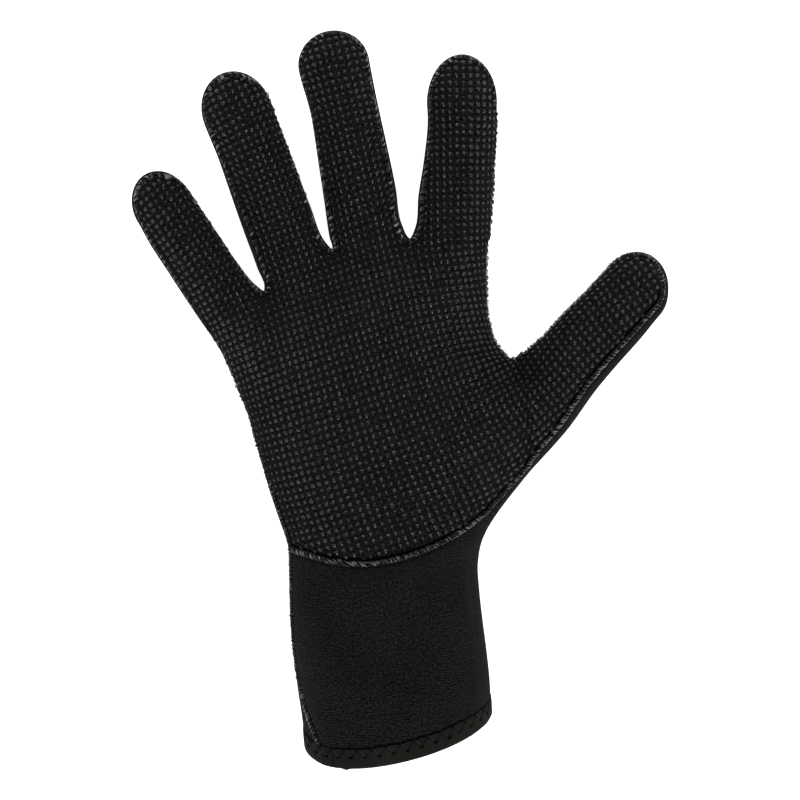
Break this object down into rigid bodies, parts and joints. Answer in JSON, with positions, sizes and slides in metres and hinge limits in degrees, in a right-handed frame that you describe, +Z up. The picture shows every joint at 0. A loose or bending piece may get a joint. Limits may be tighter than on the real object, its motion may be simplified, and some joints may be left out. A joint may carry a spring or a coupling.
{
  "type": "neoprene glove",
  "caption": "Five-finger sport glove of thick neoprene with a dotted grip panel over palm and fingers, a plain back and a long cuff with a bound hem; right hand.",
  "frame": {"origin": "under the middle of the glove's bounding box, on the surface that it lies on", "axes": "+Z up, out of the palm, which faces up; +Y from the cuff to the fingertips; +X to the thumb side"},
  "size_m": [0.1969, 0.2694, 0.0461],
  "materials": {
    "grip_neoprene": "matt jersey-faced neoprene with rows of small raised rubber dots",
    "plain_neoprene": "matt fine-knit nylon jersey on neoprene",
    "hem_tape": "matt knit binding",
    "grip_dots": "satin rubber, domed",
    "thread": "polyester overlock thread"
  },
  "bodies": {
    "root": {"palm_panel": "grip_neoprene", "back_panel": "plain_neoprene", "hem_binding": "hem_tape"}
  },
  "joints": []
}
